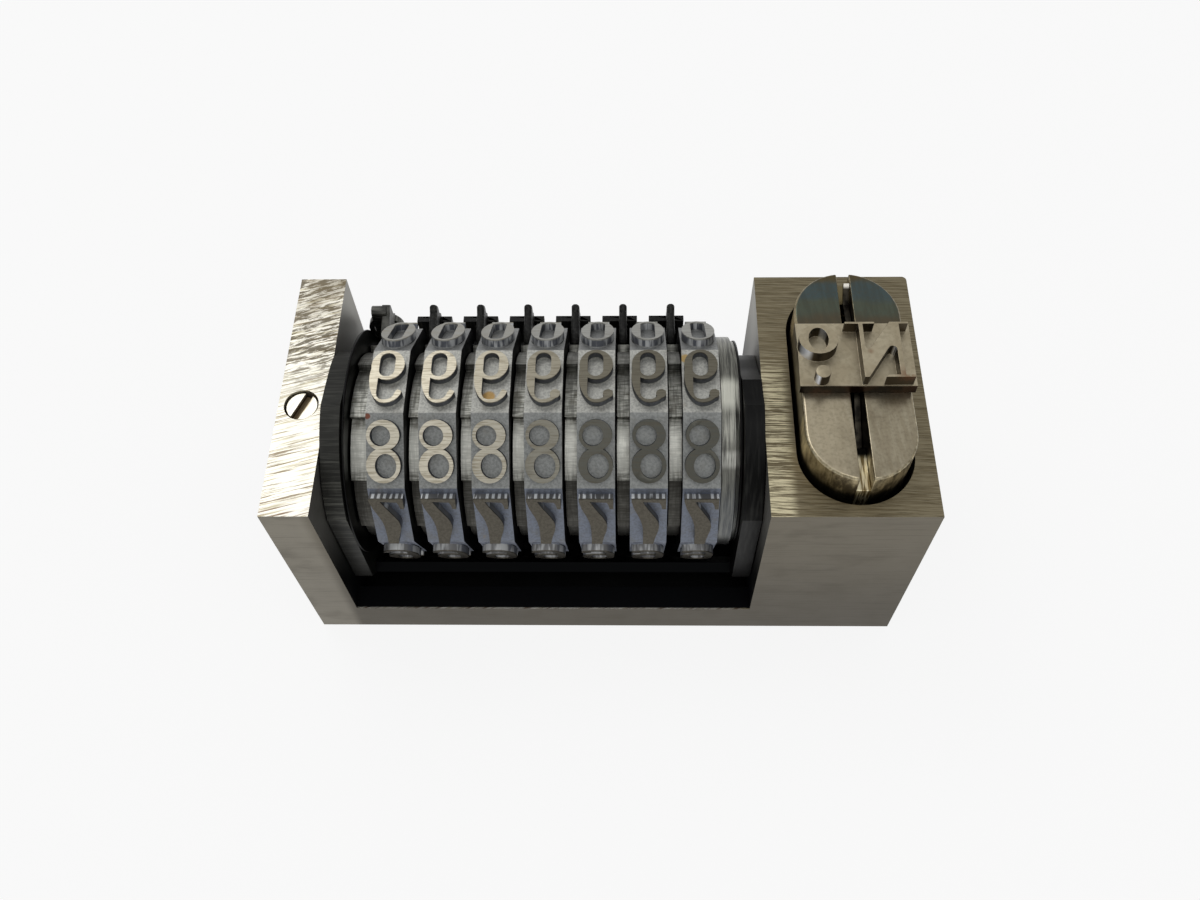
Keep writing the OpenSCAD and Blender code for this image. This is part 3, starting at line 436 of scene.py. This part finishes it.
def plunger_steel():
    """Hardened and polished: grey-brown in front, temper colours behind the sign, golden sides, with
    painted reflections, light and shade.
    """
    f = Finish("plunger_steel")
    scratches = f.spots((2.5, 0.3, 1.2), turn=6, detail=4)
    patches = f.spots((0.4, 0.4, 0.4), detail=4)
    satin = f.spots((4, 4, 4), detail=3)
    speckle = f.spots((1.4, 1.4, 0.5), detail=4, rough=0.65)
    streaky = f.spots((6, 0.5, 0.5), detail=3)
    top = f.level()
    sunk = plunger_high.z - f.z
    from_left = f.x - plunger_low.x
    front = f.mix(scratches.between(0.4, 0.65), tone(158, 148, 126), tone(172, 163, 141))
    # Lighter towards the left: a painted reflection
    front = f.mix(from_left.between(4.9, 1.7) * 0.6, front, tone(196, 184, 158))
    front = f.mix(patches.between(0.45, 0.7) * 0.4, front, tone(122, 112, 92))
    from_back = plunger_high.y - f.y - (patches - 0.5) * 1.6
    behind = f.mix(from_back.between(0.55, 1.35), tone(96, 86, 62), tone(80, 92, 92))
    behind = f.mix(from_back.between(2.35, 3.15), behind, tone(88, 94, 82))
    behind = f.mix(from_back.between(3.75, 4.75), behind, tone(92, 85, 70))
    behind = f.mix(scratches.between(0.6, 0.4) * 0.3, behind, tone(70, 72, 64))
    faces = f.mix(f.y.between(1, 2), front, behind)
    faces = f.mix(satin.between(0.55, 0.35) * 0.2, faces, tone(88, 80, 66))

    # The sides: golden above, a painted warm reflection; dark where the hole hides them, painted shade;
    # and a painted shadow below the sign plate
    side = f.mix(speckle.between(0.3, 0.7), tone(116, 104, 80), tone(198, 184, 150))
    side = f.mix(from_left.between(0.7, 2.2) * speckle.between(0.62, 0.4) * 0.7, side, tone(70, 62, 48))
    side = f.mix(sunk.between(1.9, 2.7) * 0.85, side, tone(24, 21, 17))
    shade = from_left.between(0.5, 0.2) * f.y.between(-4.3, -4) * f.y.between(4.5, 4)
    side = f.mix(shade * 0.8, side, tone(40, 36, 30))
    colour = f.mix(top, side, faces)
    edge = f.facing_z.between(0.3, 0.5) * (1 - top) * sunk.between(0.3, 0.2)
    rim = f.mix(satin.between(0.3, 0.7), tone(128, 116, 90), tone(200, 192, 166))
    rim = f.mix(f.y.between(2, 4) * 0.8, rim, tone(96, 86, 64))
    colour = f.mix(edge * 0.6, colour, rim)

    # The slot along the top: painted shade makes it black in its depth, and painted light makes it bright
    # at its front end
    in_slot = abs(f.x - plunger_middle).between(0.56, 0.5) * sunk.between(0.1, 0.25)
    bright = f.mix(streaky.between(0.4, 0.6), tone(120, 104, 70), tone(226, 216, 184))
    slot = f.mix(f.y.between(-6.6, -7.2), tone(14, 13, 11), bright)
    slot = f.mix(f.y.between(7, 7.6), slot, tone(120, 110, 82))
    colour = f.mix(in_slot, colour, slot)
    return f.steel(colour, 0.24 + 0.12 * patches + 0.1 * (1 - top), satin * 0.5 + speckle * (1 - top),
                   depth_mm=0.006)


def sign_steel():
    """The sign plate: satin grey-brown, cut walls and edges dark with painted shade, painted highlights on
    some walls, a little rust along its front edge.
    """
    f = Finish("sign_steel")
    satin = f.spots((3, 3, 3), detail=4)
    patches = f.spots((0.5, 0.5, 0.5), detail=4)
    colour = f.mix(patches.between(0.4, 0.65), tone(168, 157, 133), tone(182, 172, 148))
    colour = f.mix(satin.between(0.55, 0.35) * 0.25, colour, tone(122, 112, 92))
    # Painted shade on the cut walls, darker on the front edge's wall, and a painted highlight on the walls
    # that face front and left
    upright = f.facing_z.between(0.9, 0.6)
    colour = f.mix(upright * 0.95, colour, tone(66, 58, 46))
    front = f.facing_y.between(-0.8, -0.95) * f.y.between(sign_low.y + 0.1, sign_low.y + 0.02)
    colour = f.mix(front, colour, tone(34, 29, 23))
    bright = upright * (f.facing_x + f.facing_y).between(-1.2, -1.38)
    colour = f.mix(bright, colour, tone(232, 234, 238))
    rust = f.y.between(sign_low.y + 0.1, sign_low.y) * patches.between(0.4, 0.6) * 0.25
    rust = rust.maths("MAXIMUM", f.near((22.9, -1.85, sign_high.z), 1.1) * satin.between(0.3, 0.5))
    rust = rust.maths("MAXIMUM", f.near((20.4, 0.2, sign_high.z), 0.35) * 0.7)
    colour = f.mix(rust * 0.7, colour, tone(118, 78, 52))
    return f.steel(colour, 0.36 + 0.16 * satin, satin, depth_mm=0.004)


def spring_wire():
    """Drawn wire under a dark film; the sign plate's wire is bright at its free end."""
    f = Finish("spring_wire")
    patches = f.spots((1.5, 1.5, 1.5), detail=3)
    colour = f.mix(patches.between(0.35, 0.65), tone(30, 28, 25), tone(62, 58, 50))
    free_end = (plunger_high.z - f.z).between(0.34, 0.14) * f.y.between(7, 8)
    colour = f.mix(free_end, colour, tone(236, 232, 222))
    return f.steel(colour, 0.34, patches, depth_mm=0.004)


def meets_at(edge, degrees):
    """Whether the two faces at an edge turn by more than so many degrees."""
    return len(edge.link_faces) == 2 and edge.calc_face_angle() > math.radians(degrees)


def break_edges(work, edges, width_mm, steps):
    """Rounds edges of a mesh in a few steps."""
    bmesh.ops.bevel(work, geom=edges, offset=width_mm * MM, offset_type="OFFSET", affect="EDGES",
                    segments=steps, profile=0.5, material=-1, clamp_overlap=True)


def stand_for(node, mesh, body):
    """Makes a mesh the finished piece that stands for a CAD node and moves with a body."""
    piece = bpy.data.objects.new(node + "_finished", mesh)
    bpy.context.scene.collection.objects.link(piece)
    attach(piece, body)
    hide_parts(node)
    return piece


def coated(mesh, finish):
    """Gives a mesh its one finish."""
    mesh.materials.clear()
    mesh.materials.append(finish)
    return mesh


def with_broken_edges(node, finish, edge_mm, round_above=None, round_mm=0):
    """Stands a copy of a CAD node in for it, merged into one skin, with its sharp edges broken.

    The edges that run from front to back above round_above millimetres are rounded first, by round_mm."""
    mesh = coated(frame["nodes"][node].data.copy(), finish)
    work = bmesh.new()
    work.from_mesh(mesh)
    bmesh.ops.remove_doubles(work, verts=work.verts[:], dist=MERGE_MM * MM)
    bmesh.ops.dissolve_limit(work, angle_limit=math.radians(SAME_FLAT), verts=work.verts[:],
                             edges=work.edges[:])
    if round_above:
        top = [e for e in work.edges if meets_at(e, SHARP)
               and min(v.co.z for v in e.verts) > round_above * MM
               and abs(e.verts[0].co.x - e.verts[1].co.x) < 0.01 * MM]
        break_edges(work, top, round_mm, steps=4)
    break_edges(work, [e for e in work.edges if meets_at(e, SHARP)], edge_mm, steps=2)
    for face in work.faces:
        face.smooth = True
    for edge in work.edges:
        edge.smooth = len(edge.link_faces) == 2 and not meets_at(edge, SMOOTH)
    work.to_mesh(mesh)
    work.free()
    piece = stand_for(node, mesh, body_of[node])
    piece.modifiers.new("flat faces stay flat", "WEIGHTED_NORMAL").keep_sharp = True


def stand_on_plate(node, finish):
    """A plunger spring: a copy that stays with the bottom plate."""
    low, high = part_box(node)
    mesh = coated(frame["nodes"][node].data.copy(), finish)
    piece = stand_for(node, mesh, body_of["bottom_plate"])
    pressed = 1 - plunger_travel / (high.z - low.z)
    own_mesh(piece)


CASE = case_steel()
BLACK = black_steel("black_steel", (20, 20, 20), (52, 52, 50))
LEFT_ARM = black_steel("left_arm_steel", (48, 48, 46), (108, 108, 102), (0.3, 6, 6))
TIE_BAR = black_steel("oily_black_steel", (5, 6, 7), (16, 17, 19), (0.4, 4, 4))
PAWL = black_steel("pawl_steel", (34, 34, 34), (84, 84, 80), (5, 5, 0.6))
FIRST_PAWL = black_steel("first_pawl_steel", (66, 66, 63), (150, 150, 143), (1, 1, 7))
RATCHET = ratchet_steel()
TURNED = turned_steel()
WIRE = spring_wire()

with_broken_edges("frame", CASE, 0.1)
with_broken_edges("shaft_lock_screw", screw_steel(), 0.06)
with_broken_edges("plunger", plunger_steel(), 0.08)
with_broken_edges("sign_plate", sign_steel(), 0.04)
with_broken_edges("end_collar", TURNED, 0.08)
with_broken_edges("retaining_pawl_1", FIRST_PAWL, 0.04, round_above=PAWL_SHOULDER, round_mm=0.3)
for k in WHEELS[1:]:
    with_broken_edges(f"retaining_pawl_{k}", PAWL, 0.04, round_above=PAWL_SHOULDER, round_mm=0.24)
for k in WHEELS:
    with_broken_edges(f"figure_wheel_{k}", wheel_steel(k), 0.05)
    with_broken_edges(f"ratchet_{k}", RATCHET, 0.04)
with_broken_edges("left_swing_arm", LEFT_ARM, 0.08)
for node in ("right_swing_arm", "end_disc"):
    with_broken_edges(node, BLACK, 0.08)
for node in ("swing_tie_bar", "drive_pawl"):
    with_broken_edges(node, TIE_BAR, 0.05)
with_broken_edges("bottom_plate", PAWL, 0.05)
with_broken_edges("thrust_ring", BLACK, 0.02)
for node in ("bottom_plate_screws", "wheel_shaft", "drive_pawl_rod", "retaining_pawl_rod", "drive_stud"):
    with_broken_edges(node, TURNED, 0.04)
for node in ("drive_pawl_spring", "retaining_pawl_springs", "sign_plate_spring"):
    coated(frame["nodes"][node].data, WIRE)
for node in ("front_plunger_spring", "rear_plunger_spring"):
    stand_on_plate(node, WIRE)


# Floor, lamps and camera
def floor():
    """A pale floor, which the camera and the metal see as the white of the photograph."""
    bpy.ops.mesh.primitive_plane_add(size=4)
    plane = bpy.context.object
    plane.name = "floor"
    f = Finish("floor_white")
    light = f.node("LightPath")
    seen = Value(f, light.socket.node.outputs["Is Camera Ray"])
    mirrored = Value(f, light.socket.node.outputs["Is Glossy Ray"])
    through = Value(f, light.socket.node.outputs["Is Transmission Ray"])
    white = seen.maths("MAXIMUM", mirrored).maths("MAXIMUM", through)
    matt = f.node("BsdfDiffuse", inputs={"Color": (0.96, 0.96, 0.96, 1)})
    plain = f.node("Emission", inputs={"Color": (0.96, 0.96, 0.96, 1), "Strength": 1.0})
    both = f.node("MixShader", inputs={0: white * 0.9, 1: matt, 2: plain})
    out = f.tree.nodes.new("ShaderNodeOutputMaterial")
    f.tree.links.new(both.socket, out.inputs[0])
    plane.data.materials.append(f.material)


def lamp(name, place, size, strength):
    """A soft oblong lamp that looks at the machine; a strength of 1 makes its face white."""
    light = bpy.data.lights.new(name, "AREA")
    light.shape = "RECTANGLE"
    light.size, light.size_y = size
    light.energy = strength * math.pi * size[0] * size[1]
    lamp_object = bpy.data.objects.new(name, light)
    bpy.context.scene.collection.objects.link(lamp_object)
    lamp_object.location = place
    lamp_object.rotation_euler = (Vector(place) * -1).to_track_quat("-Z", "Y").to_euler()


def camera():
    """The photograph's camera, fitted to the corners of the case: place, tilt and lens."""
    place = Vector((2.286, -49.276, 95.128)) * MM
    fitted_lens = 33.66
    elevation, yaw, roll = (math.radians(a) for a in (59.307, -2.911, 2.538))
    ahead = Vector((math.sin(yaw) * math.cos(elevation), math.cos(yaw) * math.cos(elevation),
                    -math.sin(elevation)))
    right = Vector((math.cos(yaw), -math.sin(yaw), 0))
    down = ahead.cross(right)
    level_right = right * math.cos(roll) + down * math.sin(roll)
    level_down = down * math.cos(roll) - right * math.sin(roll)
    data = bpy.data.cameras.new("camera")
    data.sensor_width = 36
    data.lens = fitted_lens
    data.clip_start = 0.005
    data.clip_end = 10
    view = bpy.data.objects.new("camera", data)
    bpy.context.scene.collection.objects.link(view)
    turned = Matrix((level_right, -level_down, -ahead)).transposed()
    view.matrix_world = Matrix.Translation(place) @ turned.to_4x4()
    bpy.context.scene.camera = view


def sky():
    """An even pale room."""
    world = bpy.data.worlds.new("room")
    bpy.context.scene.world = world
    world.use_nodes = True
    world.node_tree.nodes["Background"].inputs["Color"].default_value = (0.8, 0.8, 0.8, 1)
    world.node_tree.nodes["Background"].inputs["Strength"].default_value = 0.8


floor()
sky()
lamp("window", place=(-0.31, 0.31, 0.62), size=(0.42, 0.26), strength=2.6)
lamp("ceiling", place=(0.05, -0.24, 0.7), size=(0.35, 0.35), strength=1.6)
camera()
bpy.context.scene.view_settings.view_transform = "Standard"
